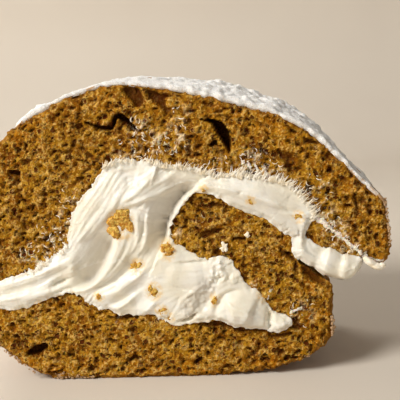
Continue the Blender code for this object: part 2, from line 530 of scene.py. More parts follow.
def crumb_depth(points, into):
    """How far in the crumb's surface lies behind a cut face: bubbles, torn walls and gentle waves."""
    places, lean = crumb_places(points), sheet_lean(points)
    opened = np.zeros(len(points))
    for shift, *sizes in BUBBLE_SIZES:
        opened = np.maximum(opened, bubble_depth(places + shift, into, lean, *sizes))
    waves = rough_noise(points, 9.0, 2, 70.0)
    return 1.3 * np.tanh(opened) - 0.65 * (torn_walls(points) - 0.5) + 0.30 * waves


def torn_walls(points):
    """The torn walls between bubbles, 1 along their crests."""
    return ridged_noise(crumb_places(points), 1.7, 2, 60.0)


# Thin coats of cream that a blade has left on the crumb: (x, z, half width) along each.
COATED = [
    [(28.4, 35.6, 0.5), (29.8, 33.9, 0.6), (31.4, 32.5, 0.6), (33.2, 31.0, 0.45), (35.0, 29.3, 0.4),
     (37.0, 27.6, 0.35), (39.0, 26.0, 0.35), (41.0, 24.5, 0.3)],
    [(29.0, 36.3, 0.2), (31.4, 34.4, 0.1), (34.0, 31.6, 0.1), (36.6, 29.0, 0.1)],
    [(40.4, 24.2, 0.5), (42.0, 23.6, 0.6), (43.4, 24.0, 0.5)],
    [(15.0, 43.8, 0.3), (15.6, 45.8, 0.3)],
    [(17.2, 43.6, 0.3), (16.5, 45.6, 0.3)],
    [(18.6, 43.4, 0.3), (17.9, 45.2, 0.25)],
    [(20.2, 42.6, 0.3), (19.6, 44.6, 0.25)],
    [(8.1, 33.2, 0.0), (9.6, 35.3, 0.1)],
    [(24.4, 13.9, 0.3), (26.4, 14.5, 0.3)],
    [(20.2, 18.8, 0.3), (19.4, 16.6, 0.2)],
]  # fmt: skip


def coat_amount(section):
    """How much of a coat of cream lies on the front face, 0.5 at a coat's edge."""
    nearest = np.full(len(section), -9.0)
    for line in COATED:
        nearest = np.maximum(nearest, inside_line(section, line, 0.3))
    return soft_step(nearest, -0.6, 0.6)


def distance_from(section, x, z):
    """Distance of section points from a drawn one."""
    return np.hypot(section[:, 0] - x - SHIFT, section[:, 1] - z)


def smear_amount(section):
    """How much the knife has smeared thin cream over the crests of the crumb, 0 to 1."""
    amount = np.zeros(len(section))
    for x, z, radius, most in SMEARED:
        gap = distance_from(section, x, z)
        amount = np.maximum(amount, most * soft_step(-gap, -1.25 * radius, -0.3 * radius))
    return amount


def skin_lift(points, section, placed):
    """How far the skin stands out: in fine wrinkles, coarser at the right turn, and broken at the cuts."""
    crumbly = soft_step(section[:, 0] - SHIFT, 26.0, 31.0) * soft_step(-section[:, 1], -36.0, -24.0)
    wrinkle = mixed(0.30, 0.55, crumbly) * rough_noise(placed, 3.2, 3, 80.0)
    wrinkle = wrinkle + mixed(0.12, 0.30, crumbly) * value_noise(placed, 0.9, 85.0)
    to_cut = np.minimum(points[:, 1] - FRONT, BACK - points[:, 1])
    broken = soft_step(-to_cut, -2.0, 0.0) * (0.9 * ridged_noise(placed, 2.4, 2, 87.0) - 0.65)
    return wrinkle + broken


def make_sponge(material):
    mesh = slab("sponge_crumb", SPONGE_LINE, SPONGE_GRID, SPONGE_RINGS, is_outside_skin)
    points, section, placed, on_front, on_back = laid_out(mesh)
    to_line, along, normal, _ = nearest_on(SPONGE_LINE, section)
    from_skin = nearest_on(skin_line(), section, closed=False)[0]
    to_cream = nearest_on(CREAM_LINE, section)[0]

    # The crumb of both cut faces, and the holes and coats of the front one.
    cut = on_front | on_back
    depth, holes, coat = np.zeros((3, len(points)))
    for chosen, into in ((on_front, 1.0), (on_back, -1.0)):
        depth[chosen] = crumb_depth(points[chosen], into)
    holes[on_front] = hole_depth(section[on_front])
    coat[on_front] = coat_amount(section[on_front])
    covered = soft_step(coat, 0.4, 0.75)
    # The masks below carry painted shade into the pores and holes, and a painted highlight onto the crests
    # clear of them.
    pore = np.maximum(soft_step(depth, 0.0, 1.0), soft_step(holes, 0.2, 1.2))
    whole = (1.0 - soft_step(holes, 0.1, 0.6)) * (1.0 - 0.8 * pore)
    # Where the torn walls' crests get a painted highlight.
    crest = soft_step(torn_walls(points), 0.55, 0.85) * whole
    depth = np.maximum(depth, holes) * (1.0 - 0.85 * covered) - 0.15 * covered

    near_skin = soft_step(-from_skin, -1.4, -0.05)
    off_base = placed[:, 2] >= 0.02
    push_out(placed, normal, near_skin * skin_lift(points, section, placed) * off_base)

    # The crumb is held back near an edge, which is rounded at the skin and set in beside the cream.
    sunk = np.minimum(depth, 0.25 + 1.1 * to_line) + 0.7 * soft_step(-from_skin, -1.0, 0.0) ** 2
    sunk = sunk + 0.15 * soft_step(-to_cream, -1.2, 0.0)
    placed[:, 1] += (on_front * 1.0 - on_back) * sunk
    torn = soft_step(-to_line, -1.1, 0.0) * soft_step(-to_cream, -1.8, -0.9) * cut
    sides = in_space(section, 5.0 * np.sign(points[:, 1]))
    push_out(placed, normal, torn * (0.12 + 0.70 * rough_noise(sides, 1.3, 2, 90.0)))
    placed[:, 2] = np.maximum(placed[:, 2], 0.0)

    write_points(mesh, placed)
    write_attributes(
        mesh,
        pore=pore,
        crust=np.where(cut, soft_step(-from_skin, -1.5, -0.1), near_skin),
        crest=crest * cut,
        coat=coat,
        smear=smear_amount(section) * on_front,
        near_skin=soft_step(-from_skin, -8.0, -1.0),
        hole=soft_step(holes, 0.4, 2.6),
    )
    unwrap_slab(mesh, section, along, cut, SPONGE_LINE)
    mesh.shade_smooth()
    return shown_object("sponge_crumb", mesh, material, "sponge")


def skin_line():
    """The stretch of the sponge's outline that is the roll's browned outside, in order."""
    far = nearest_on(CREAM_LINE, SPONGE_LINE)[0] > SKIN_CLEAR
    first = next(i for i in range(len(far)) if far[i] and not far[i - 1])
    line = np.roll(SPONGE_LINE, -first, axis=0)
    far = np.roll(far, -first)
    runs, start = [], None
    for i, is_far in enumerate(np.append(far, False)):
        if is_far and start is None:
            start = i
        if not is_far and start is not None:
            runs.append((i - start, start))
            start = None
    length, start = max(runs)
    return line[start : start + length]


def is_outside_skin(section):
    return nearest_on(CREAM_LINE, section)[0] > WALL_CLEAR


MAP_GAP = 2.0  # clearance between the parts of a bake map


def unwrap_slab(mesh, section, along, cut, outline):
    """A bake map: both cut faces side by side, and under them the wall unrolled in strips."""
    low, high = outline.min(axis=0), outline.max(axis=0)
    wide, tall = high - low
    pad = MAP_GAP
    row_width = 2 * wide + 3 * pad
    length = np.hypot(*(np.roll(outline, -1, axis=0) - outline).T).sum()
    strips = int(np.ceil(length / (row_width - 6 * pad)))
    strip_width = length / strips
    side = max(row_width, tall + 2 * pad + strips * (DEPTH + pad))
    corners = np.empty(len(mesh.loops), int)
    mesh.loops.foreach_get("vertex_index", corners)
    starts, counts = np.empty(len(mesh.polygons), int), np.empty(len(mesh.polygons), int)
    mesh.polygons.foreach_get("loop_start", starts)
    mesh.polygons.foreach_get("loop_total", counts)
    face_of = np.repeat(np.arange(len(counts)), counts)
    flat = np.minimum.reduceat(cut[corners].astype(int), starts) == 1
    depth = read_points(mesh)[:, 1] / MM
    is_back = np.maximum.reduceat(np.where(depth[corners] > 0, 1, 0), starts) == 1
    is_front = np.maximum.reduceat(np.where(depth[corners] < 0, 1, 0), starts) == 1
    flat &= ~(is_back & is_front)
    u = section[corners, 0] - low[0] + pad + np.where(is_back[face_of], wide + pad, 0.0)
    v = section[corners, 1] - low[1] + pad
    first = along[corners[starts]]
    unrolled = along[corners]
    jump = unrolled - first[face_of]
    unrolled = unrolled - length * (jump > length / 2) + length * (jump < -length / 2)
    middle = np.add.reduceat(unrolled, starts) / counts
    strip = np.clip(np.floor(middle / strip_width), 0, strips - 1)[face_of]
    wall_u = unrolled - strip * strip_width + 3 * pad
    wall_v = tall + 2 * pad + strip * (DEPTH + pad) + depth[corners] - FRONT
    uv = np.stack([np.where(flat[face_of], u, wall_u), np.where(flat[face_of], v, wall_v)], axis=1) / side
    layer = mesh.uv_layers.new(name="OFBake")
    layer.data.foreach_set("uv", np.clip(uv, 0.0, 1.0).ravel().astype(np.float32))


# ---------------------------------------------------------------- the cream

CREAM_GRID = 0.21  # spacing of the grid over the cut faces
CREAM_RINGS = 24  # rings of faces over the walls that show
CREAM_OVERLAP = 0.45  # how far the cream laps over the edge of the sponge
FREE_CLEAR = 0.35  # cream this far from the sponge is free of it
FREE_OVERLAP = 0.05  # and is this much fuller than the solid

# The marks that a knife and a palette have left in the cream. Each is a line of points from top to bottom
# or from left to right, its half widths on the left and right of that way of travel, and its height, below 0
# for a hollow.
STROKES = [
    # The combed fan at the upper left, ending in a fold.
    ([(-12.6, 43.6), (-15.6, 39.8), (-18.6, 36.2), (-20.3, 32.4), (-21.0, 29.2)], 0.54, 0.75, 0.24),
    ([(-11.4, 43.6), (-14.2, 39.2), (-17.2, 35.4), (-19.4, 31.2)], 0.47, 0.69, 0.28),
    ([(-10.2, 43.4), (-12.2, 39.4), (-14.8, 35.8), (-18.2, 31.8), (-20.4, 29.8)], 0.47, 0.88, 0.32),
    ([(-8.8, 42.4), (-10.6, 38.8), (-12.6, 36.4), (-15.6, 33.0), (-19.0, 30.4)], 0.47, 1.25, 0.55),
    # The broad hollow beyond the fan, deepest along the crease on its right.
    ([(-11.6, 32.0), (-13.2, 28.4), (-15.0, 24.8), (-17.2, 22.0), (-21.0, 20.6)], 0.60, 3.40, -3.0),
    ([(-12.8, 30.6), (-14.4, 28.4)], 0.41, 0.38, 0.19),
    ([(-17.4, 25.2), (-17.7, 24.6)], 0.54, 0.50, 0.25),
    # Folds under the crown.
    ([(-1.6, 46.0), (-3.4, 43.2), (-6.2, 40.8), (-9.6, 38.4)], 0.54, 1.12, 0.5),
    ([(2.2, 44.8), (-0.6, 42.8), (-3.6, 41.2), (-7.4, 39.4)], 0.54, 1.00, 0.37),
    ([(6.4, 43.2), (3.2, 42.2), (0.6, 40.9), (-1.6, 39.8), (-4.0, 39.2), (-7.0, 38.4), (-10.2, 37.4)],
     0.54, 1.88, 0.81),
    ([(-9.6, 44.6), (-5.6, 43.6)], 1.30, 1.30, -0.66),
    # The deep valley beside the tongue, and the ridges on its left.
    ([(6.2, 41.8), (3.0, 39.4), (0.8, 36.4), (-0.7, 33.0), (-1.4, 30.2), (-2.6, 27.4)], 0.60, 3.40, -3.6),
    ([(-4.8, 38.2), (-4.4, 35.0), (-4.7, 31.6), (-5.7, 28.6), (-7.0, 26.8)], 0.94, 0.75, 0.74),
    ([(-6.6, 36.4), (-6.5, 33.0), (-6.9, 29.8), (-8.2, 27.4)], 0.54, 0.62, 0.37),
    ([(-8.0, 37.2), (-9.4, 36.4)], 0.81, 0.75, -0.5),
    # Slanting ridges and creases in the middle.
    ([(-10.2, 30.8), (-11.8, 27.0), (-14.0, 23.6), (-16.8, 21.2), (-20.6, 19.9)], 1.22, 0.56, 0.68),
    ([(-8.4, 29.2), (-10.2, 25.8), (-12.6, 23.2), (-16.0, 21.0)], 0.54, 0.62, 0.31),
    ([(-6.2, 27.2), (-8.8, 24.6), (-11.4, 22.4), (-15.0, 20.6), (-17.6, 19.4)], 0.61, 1.88, -0.81),
    ([(-6.0, 23.4), (-9.2, 21.5), (-12.6, 19.4), (-16.2, 18.4)], 1.35, 0.56, 0.56),
    ([(-3.4, 27.0), (-5.2, 24.6), (-8.0, 22.6)], 0.81, 0.50, 0.31),
    ([(-5.4, 21.4), (-8.6, 19.1), (-11.6, 17.5), (-14.0, 16.7)], 0.54, 1.50, -0.5),
    ([(-8.2, 18.6), (-10.4, 17.0), (-12.6, 15.8)], 0.68, 0.50, 0.43),
    ([(-5.8, 19.2), (-8.4, 16.2)], 1.35, 1.00, -0.5),
    ([(-3.8, 17.4), (-6.2, 15.0)], 0.68, 0.62, 0.37),
    # The tail that runs out between the sheets on the left.
    ([(-20.4, 26.8), (-24.0, 25.4), (-29.0, 23.4), (-38.0, 20.6)], 1.08, 1.00, 0.5),
    ([(-19.6, 22.2), (-23.0, 21.0), (-28.0, 19.6), (-38.0, 18.2)], 0.81, 0.75, 0.5),
    ([(-22.6, 24.0), (-28.0, 22.0), (-38.0, 19.5)], 0.81, 0.75, -0.31),
    ([(-22.4, 22.5), (-25.2, 20.9)], 0.65, 0.60, -1.3),
    ([(-20.9, 26.2), (-20.6, 23.8)], 0.68, 1.00, 0.5),
    # The pool and the torn facet under the tongue.
    ([(-1.6, 23.6), (3.0, 22.4), (6.6, 22.6)], 2.60, 2.60, 0.57),
    ([(6.4, 20.9), (4.2, 19.0), (1.8, 17.1), (0.4, 15.0)], 0.30, 0.50, 0.22),
    ([(8.6, 19.6), (7.2, 17.4), (6.2, 15.4), (5.2, 14.4)], 0.70, 2.20, -0.7),
    ([(1.2, 12.8), (3.0, 13.0), (4.8, 14.0)], 0.29, 0.39, -1.4),
    ([(1.0, 25.5), (4.6, 25.2), (7.2, 25.6)], 0.30, 0.44, -0.5),
    # The smooth lobe at the lower right, and the small one at its tip.
    ([(10.6, 14.4), (13.4, 14.8), (16.4, 13.6)], 3.20, 3.20, 2.3),
    ([(8.2, 13.0), (8.9, 16.2), (11.0, 18.4), (14.4, 18.9)], 0.60, 0.90, -0.65),
    ([(20.0, 14.6), (19.6, 10.2)], 0.60, 0.60, -1.1),
    ([(20.9, 11.0), (23.2, 11.8)], 1.49, 1.38, 0.62),
    # The strip over the tongue, and where it turns down.
    ([(8.6, 41.6), (14.0, 40.4), (19.6, 38.2), (24.2, 35.6)], 1.60, 1.30, 0.76),
    ([(20.8, 36.4), (24.6, 35.4), (27.4, 35.0)], 0.68, 0.38, -0.31),
    ([(20.4, 34.7), (24.0, 32.6)], 0.94, 0.88, 0.31),
    ([(14.6, 39.6), (14.9, 39.3)], 0.41, 0.38, -0.31),
    ([(27.4, 34.0), (27.2, 31.0), (26.6, 28.4), (27.0, 26.2)], 0.68, 0.88, 0.74),
    # The bulges of the lobe at the roll's mouth.
    ([(31.6, 27.2), (31.0, 25.0), (30.6, 22.6)], 0.40, 2.20, -0.95),
    ([(30.0, 26.0), (33.0, 24.4), (37.0, 23.0)], 2.80, 2.80, 1.3),
    ([(34.8, 26.0), (34.2, 23.6), (34.0, 20.6)], 0.40, 1.50, -0.5),
    ([(37.6, 24.6), (36.8, 22.4)], 1.70, 1.70, 0.5),
]  # fmt: skip

# Where the cream is combed with fine parallel lines: points, reach, and how deep the lines are.
COMBED = [
    ([(-9.6, 44.0), (-13.2, 38.6), (-19.6, 30.6)], 3.2, 0.08),
    ([(-1.0, 44.6), (-7.6, 40.2)], 2.6, 0.07),
    ([(-5.4, 37.0), (-6.2, 28.4)], 1.6, 0.08),
    ([(-9.0, 29.6), (-12.4, 23.6), (-17.8, 20.2)], 1.8, 0.07),
    ([(-7.0, 22.0), (-14.6, 17.8)], 1.8, 0.05),
    ([(-20.0, 24.6), (-38.0, 19.4)], 2.6, 0.06),
    ([(8.0, 42.6), (16.0, 41.6), (24.0, 39.2), (28.0, 35.6)], 1.3, 0.06),
]

# Where the cream is torn and lumpy: (x, z, radius, height of the lumps).
TORN = [
    (10.4, 25.6, 2.8, 0.8), (9.6, 22.6, 2.6, 0.8), (7.6, 20.6, 2.4, 0.5), (5.0, 17.4, 3.4, 0.45),
    (3.0, 14.6, 2.2, 0.5), (12.6, 21.6, 1.6, 0.6), (-2.0, 14.4, 1.6, 0.3),
]  # fmt: skip

# Crumbs of sponge pressed into the cream: (x, z, half width, half height, tilt in degrees).
CRUMBS = [
    (-10.0, 33.8, 2.3, 3.1, 10.0), (-7.3, 24.7, 1.3, 1.15, -20.0), (-4.0, 19.5, 1.2, 1.5, -35.0),
    (-0.8, 28.0, 1.2, 1.8, 15.0), (-15.6, 18.6, 0.8, 0.55, 20.0), (-2.6, 15.3, 0.9, 0.8, 0.0),
    (16.8, 37.8, 0.5, 0.7, 0.0), (26.3, 34.1, 0.75, 0.75, 0.0), (7.3, 40.5, 0.5, 0.5, 0.0),
    (19.2, 17.6, 1.4, 0.9, -25.0), (8.6, 17.2, 0.5, 1.1, 15.0), (-28.4, 17.2, 0.5, 0.35, 10.0),
    (-1.0, 13.6, 0.6, 0.5, 20.0),
]  # fmt: skip

STAIN_REACH = 0.7  # how far beyond a crumb the cream is stained

# Where the cream gets painted shade, a greyer tone for the shading on the torn facet and along the strip:
# points, reach, and how much.
SHADED_PLACES = [
    ([(6.8, 19.4), (5.4, 17.2), (3.6, 15.4)], 2.1, 0.7),
    ([(14.5, 37.6), (19.0, 36.0), (23.0, 34.0), (25.6, 31.4)], 1.7, 0.45),
    ([(20.6, 39.6), (24.6, 37.4)], 1.2, 0.25),
]

FREE_ROUND = 1.7  # how far in the free edges of the lobe at the roll's mouth are rounded over
RELIEF_STEP = 0.2  # spacing of the raster that the combed streaks are made on
STREAK_STEPS = 22  # how many steps of the raster a streak runs each way
BROAD_HOLLOW = -2.0  # strokes deeper than this are hollows that get painted shade


def combed_streaks(lines, low, high, seed):
    """Noise drawn out along the marks, as a blade leaves in cream, on a raster from low to high."""
    shape = np.ceil((high - low) / RELIEF_STEP).astype(int) + 1
    x, z = np.meshgrid(*(low[i] + RELIEF_STEP * np.arange(shape[i]) for i in (0, 1)), indexing="ij")
    double = np.zeros(shape.tolist() + [2])
    double[..., 0] = 0.02
    for line, left, right, _ in lines:
        width = (left + right) / 2
        for start, end in zip(line[::3], line[1::3]):
            run = end - start
            angle = 2.0 * math.atan2(run[1], run[0])
            reach = (x - start[0]) ** 2 + (z - start[1]) ** 2
            weight = 1.0 / (1.0 + reach / (1.6 + width) ** 2) ** 2
            double[..., 0] += weight * math.cos(angle)
            double[..., 1] += weight * math.sin(angle)
    angle = np.arctan2(double[..., 1], double[..., 0]) / 2.0
    flow = np.stack([np.cos(angle), np.sin(angle)], axis=-1)
    grain = np.random.default_rng(seed).standard_normal(shape)
    total = grain.copy()
    for sense in (1.0, -1.0):
        place = np.stack(np.meshgrid(*map(np.arange, shape), indexing="ij"), axis=-1).astype(float)
        heading = flow * sense
        for _ in range(STREAK_STEPS):
            place += heading
            cell = [np.clip(np.rint(place[..., i]).astype(int), 0, shape[i] - 1) for i in (0, 1)]
            ahead = flow[cell[0], cell[1]]
            turn = np.sign((ahead * heading).sum(-1, keepdims=True))
            heading = ahead * np.where(turn == 0, 1.0, turn)
            total += grain[cell[0], cell[1]]
    total = total + sum(np.roll(total, way, axis) for axis in (0, 1) for way in (1, -1))
    return total / total.std()


def near_line(section, line, reach, beyond):
    """1 at section points near a drawn line, falling to 0 at this many times its reach."""
    distance = nearest_on(drawn(line), section, closed=False)[0]
    return soft_step(-distance, -beyond * reach, -0.6 * reach)


def in_stroke(section, stroke, fade_in, fade_out):
    """How near a stroke's crest each point is, and how far from its ends. Fades are shares of it."""
    line, left, right, _ = stroke
    distance, along, _, side = nearest_on(line, section, closed=False)
    length = np.hypot(*np.diff(line, axis=0).T).sum()
    ends = soft_step(along, 0.0, fade_in * length) * soft_step(length - along, 0.0, fade_out * length)
    width = np.where(side > 0.0, right, left)
    return np.exp(-((distance / width) ** 2)), ends


class CreamRelief:
    """How far the cream stands out of a cut face, at section points."""

    def __init__(self, line):
        self.line = line
        self.low, self.high = line.min(axis=0) - 2.0, line.max(axis=0) + 2.0
        self.strokes = [(smoothed_line(drawn(stroke), 0.4), *rest) for stroke, *rest in STROKES]
        lengths = np.hypot(*(np.roll(line, -1, axis=0) - line).T)
        self.travelled = np.concatenate([[0.0], np.cumsum(lengths)])[:-1]
        self.free = soft_step(nearest_on(SPONGE_LINE, line)[0], 0.4, 1.4)
        self.streaks = {seed: combed_streaks(self.strokes, self.low, self.high, seed) for seed in (1, 2)}

    def streak(self, seed, section):
        """The combed streaks' height at section points, read from their raster."""
        place = (section - self.low) / RELIEF_STEP
        base = np.floor(place).astype(int)
        raster = self.streaks[seed]
        for i in (0, 1):
            base[:, i] = np.clip(base[:, i], 0, raster.shape[i] - 2)
        part = np.clip(place - base, 0.0, 1.0)
        total = 0.0
        for i, j in np.ndindex(2, 2):
            weight = np.abs(1 - i - part[:, 0]) * np.abs(1 - j - part[:, 1])
            total = total + weight * raster[base[:, 0] + i, base[:, 1] + j]
        return total

    def hollow(self, section):
        """How much painted shade greys the cream at a point, 0 to 1: in the broad hollows and in the shaded
        places listed.
        """
        deepest = np.zeros(len(section))
        for line, reach, amount in SHADED_PLACES:
            deepest = np.maximum(deepest, amount * near_line(section, line, reach, 1.3))
        for stroke in self.strokes:
            if stroke[-1] < BROAD_HOLLOW:
                crest, ends = in_stroke(section, stroke, 0.2, 0.3)
                deepest = np.maximum(deepest, ends * crest)
        return deepest

    def height(self, section, seed):
        """How far the cream stands out of the front (seed 1) or the back (seed 2) face."""
        to_edge, along, normal, _ = nearest_on(self.line, section)
        edge_at = np.interp(along, self.travelled, self.free)
        free = soft_step(edge_at, 0.3, 0.7)
        flat = in_space(section, 3.0 * seed)
        stirred = section.copy()
        for i in (0, 1):
            stirred[:, i] += 0.45 * rough_noise(flat, 3.4, 3, 120.0 + 9.0 * i)
        raised = np.zeros(len(section))
        for stroke in self.strokes:
            crest, ends = in_stroke(stirred, stroke, 0.25, 0.25)
            raised += stroke[-1] * crest * mixed(0.35, 1.0, ends)
        combed = np.full(len(section), 0.03)
        for line, reach, depth in COMBED:
            combed = np.maximum(combed, depth * near_line(section, line, reach, 1.4))
        streak = self.streak(seed, section) * combed
        lumps = 0.30 * rough_noise(flat, 5.0, 2, 20.0) + 0.05 * rough_noise(flat, 1.6, 2, 22.0)
        for x, z, radius, height in TORN:
            distance = distance_from(section, x, z)
            lumps += height * soft_step(-distance, -radius, -0.4 * radius) * rough_noise(flat, 0.9, 2, 28.0)
        hanging = soft_step(-normal[:, 1], 0.0, 0.7)
        edge = mixed(0.0, 0.20, hanging)
        crown = edge + 0.55 * soft_step(to_edge, 0.0, mixed(3.0, 1.4, hanging))
        crown += 0.45 * rough_noise(flat, 1.5, 2, 17.0) * soft_step(-to_edge, -1.2, 0.0)
        inner = np.clip(1.0 - to_edge / FREE_ROUND, 0.0, 1.0)
        rounding = free * FREE_ROUND * (1.0 - np.sqrt(1.0 - inner**2))
        relief = (raised + lumps) * soft_step(to_edge, 0.0, 1.0) + streak * soft_step(to_edge, 0.0, 0.6)
        return crown + relief - rounding


EDGE_STEP = 0.2  # spacing of the cream's outline

# Stretches of the cream's edge that have pulled up into tufts: opposite corners of a box round the stretch
# (x, z, x, z), how many, how long the longest is, and their lean in degrees, clockwise from straight up.
TUFTS = [
    ((-13.0, 44.0, 3.0, 48.0), 40, 0.7, 14.0),
    ((3.0, 40.5, 12.0, 46.0), 24, 0.8, 30.0),
    ((12.0, 38.5, 24.0, 44.5), 40, 1.1, 26.0),
    ((24.0, 33.5, 31.0, 41.5), 24, 1.1, 50.0),
    ((-22.5, 29.0, -12.5, 44.0), 14, 0.4, -50.0),
    ((-31.0, 22.0, -21.0, 30.0), 10, 0.7, -30.0),
    ((-24.0, 12.0, 0.0, 20.6), 20, 0.7, 200.0),
    ((16.0, 8.0, 25.0, 15.0), 6, 0.8, 110.0),
    ((-1.5, 29.0, 3.0, 38.5), 8, 0.4, 80.0),
]

# Stretches of the edge where the cream ends in fine wisps: box, how many, the longest and lean, as above.
WISPS = [
    ((-13.0, 44.0, 3.0, 48.0), 130, 0.9, 16.0),
    ((3.0, 40.5, 12.0, 46.0), 70, 1.2, 34.0),
    ((12.0, 38.5, 24.0, 44.5), 150, 1.9, 34.0),
    ((24.0, 33.5, 31.0, 41.5), 100, 2.0, 52.0),
    ((-31.0, 22.0, -21.0, 30.0), 50, 0.9, -30.0),
]
CLUMP = 6  # about how many wisps start close together
CURLS = 160  # curls of cream on the crumb, where it is smeared
STRAY = 18.0  # how unevenly tufts and wisps lean, in degrees


def edge_in_box(line, box):
    """Which points of an outline are in a box of drawn corners."""
    low_x, low_z, high_x, high_z = box
    x, z = line[:, 0] - SHIFT, line[:, 1]
    return np.flatnonzero((x > low_x) & (x < high_x) & (z > low_z) & (z < high_z))


def leaning(lots, lean):
    """A direction in the section about this many degrees clockwise from straight up."""
    heading = math.radians(lean + lots.normal(0.0, STRAY))
    return np.array([math.sin(heading), math.cos(heading)])


def cream_outline():
    """The cream's outline, lapping over the sponge's edge, uneven, with tufts."""
    steps = []
    for start, end in zip(CREAM_LINE, np.roll(CREAM_LINE, -1, axis=0)):
        count = max(1, round(math.dist(start, end) / EDGE_STEP))
        steps.extend(mixed(start, end, t) for t in np.arange(count) / count)
    fine = np.array(steps)
    run = np.roll(fine, -1, axis=0) - np.roll(fine, 1, axis=0)
    run /= np.hypot(*run.T)[:, None]
    outward = np.stack([run[:, 1], -run[:, 0]], axis=1)
    flat = in_space(fine)
    lap = CREAM_OVERLAP + 0.55 * rough_noise(flat, 2.0, 2, 12.0) + 0.30 * rough_noise(flat, 0.8, 2, 15.0)
    free = nearest_on(SPONGE_LINE, fine)[0] > 0.6
    lap = np.where(free, FREE_OVERLAP, lap)
    travelled = np.cumsum(np.hypot(*(fine - np.roll(fine, 1, axis=0)).T))
    pull = np.zeros_like(fine)
    lots = np.random.default_rng(21)
    for box, count, longest, lean in TUFTS:
        near = edge_in_box(fine, box)
        for _ in range(count):
            middle = travelled[near[lots.integers(len(near))]]
            half = lots.uniform(0.28, 0.55)
            length = longest * lots.uniform(0.3, 1.0) ** 1.3
            share = np.clip(1.0 - np.abs(travelled - middle) / half, 0.0, 1.0) ** 1.3
            tuft = length * share[:, None] * leaning(lots, lean)
            longer = np.hypot(*tuft.T) > np.hypot(*pull.T)
            pull[longer] = tuft[longer]
    return fine + outward * lap[:, None] + pull


def make_cream(material, relief):
    mesh = slab("whipped_cream", relief.line, CREAM_GRID, CREAM_RINGS, is_free_cream)
    points, section, placed, on_front, on_back = laid_out(mesh)
    cut = on_front | on_back
    to_edge, along, normal, _ = nearest_on(relief.line, section)
    rise = np.zeros(len(points))
    for chosen, seed in ((on_front, 1), (on_back, 2)):
        rise[chosen] = relief.height(section[chosen], seed)
    placed[:, 1] += np.where(on_front, -rise, rise)
    push_out(placed, normal, 0.35 * rough_noise(placed, 4.0, 3, 33.0) * ~cut)
    write_points(mesh, placed)
    stain = np.zeros(len(points))
    for x, z, half_width, half_height, _ in CRUMBS:
        across = (section[:, 0] - x - SHIFT) / (half_width + STAIN_REACH)
        up = (section[:, 1] - z) / (half_height + STAIN_REACH)
        stain = np.maximum(stain, soft_step(-np.hypot(across, up), -1.2, -0.7) * on_front)
    # Painted shade: how much the cream is greyed in its broad hollows and shaded places.
    hollow = relief.hollow(section) * on_front
    write_attributes(mesh, stain=stain, edge=soft_step(-to_edge, -0.9, 0.0), hollow=hollow)
    unwrap_slab(mesh, section, along, cut, relief.line)
    mesh.shade_smooth()
    return shown_object("whipped_cream", mesh, material, "cream")


def is_free_cream(section):
    return nearest_on(SPONGE_LINE, section)[0] > FREE_CLEAR


def add_wisp(pile, root, tip, half_width, bend):
    """A tapering wisp from root to tip, both (x, y, z), bent sideways in the middle."""
    ball = UNIT_WISP[0]
    run = np.array(tip) - np.array(root)
    side = np.array([run[2], 0.0, -run[0]]) / math.hypot(run[0], run[2])
    t = (ball[:, 2:] + 1.0) / 2.0
    width = half_width * (1.2 - t)
    points = np.array(root) + run * t + side * (bend * 4.0 * t * (1.0 - t) + ball[:, :1] * width)
    points[:, 1:2] += ball[:, 1:2] * width * 0.8
    pile.add(points, UNIT_WISP[1])


def curl_spots(lots):
    """Section points for the curls, more of them in the larger and heavier smears."""
    weights = np.array([radius**2 * amount for _, _, radius, amount in SMEARED])
    spots = []
    for i in lots.choice(len(SMEARED), CURLS, p=weights / weights.sum()):
        x, z, radius, _ = SMEARED[i]
        angle, reach = lots.uniform(0.0, 2.0 * math.pi), radius * math.sqrt(lots.uniform(0.0, 1.0))
        spots.append((x + SHIFT + reach * math.cos(angle), z + reach * math.sin(angle)))
    return np.array(spots)


def make_wisps(material, relief):
    """The fine wisps that the cream's edge ends in, and curls of cream on the crest of the crumb."""
    lots = np.random.default_rng(27)
    pile = Pile()
    line = relief.line
    for box, count, longest, lean in WISPS:
        near = edge_in_box(line, box)
        middles = lots.integers(len(near), size=1 + count // CLUMP)
        for _ in range(count):
            spot = near[(middles[lots.integers(len(middles))] + int(lots.normal(0.0, 4.0))) % len(near)]
            way = leaning(lots, lean)
            length = longest * (0.2 + 0.8 * lots.uniform(0.0, 1.0) ** 2)
            start, end = line[spot] - 0.9 * way, line[spot] + length * way
            root = (start[0], FRONT - lots.uniform(0.45, 0.75), start[1])
            tip = (end[0], FRONT - lots.uniform(0.0, 0.5), end[1])
            add_wisp(pile, root, tip, lots.uniform(0.08, 0.15), lots.normal(0.0, 0.14) * length)
    spots = curl_spots(lots)
    depths = crumb_depth(in_space(spots, FRONT), 1.0)
    on_crumb = ~is_inside(CREAM_LINE, spots)
    for spot, depth in zip(spots[on_crumb], depths[on_crumb]):
        heading, length = lots.uniform(0.0, math.pi), lots.uniform(0.4, 1.4)
        way = 0.5 * length * np.array([math.sin(heading), math.cos(heading)])
        level = FRONT + 0.3 * min(depth, 0.5) - 0.22
        root, tip = in_space(np.array([spot - way, spot + way]), level)
        bend = lots.choice([-1.0, 1.0]) * lots.uniform(0.15, 0.4) * length
        add_wisp(pile, root, tip, lots.uniform(0.09, 0.16), bend)
    return shown_object("cream_wisps", pile.mesh("cream_wisps"), material)


# ---------------------------------------------------------------- crumbs


def add_lump(pile, shape, place, half_sizes, turn, seed, roughness):
    """One rough lump: a ball drawn out, turned and broken up."""
    ball, faces = shape
    bumps = roughness * rough_noise(ball + seed * 3.1, 0.9, 3, seed)
    bumps = bumps + 0.5 * roughness * rough_noise(ball + seed * 1.7, 0.35, 2, seed + 4.0)
    spread = ball * (1.0 + bumps[:, None]) * np.array(half_sizes)
    pile.add(spread @ np.array(turn.to_matrix()).T + np.array(place), faces)


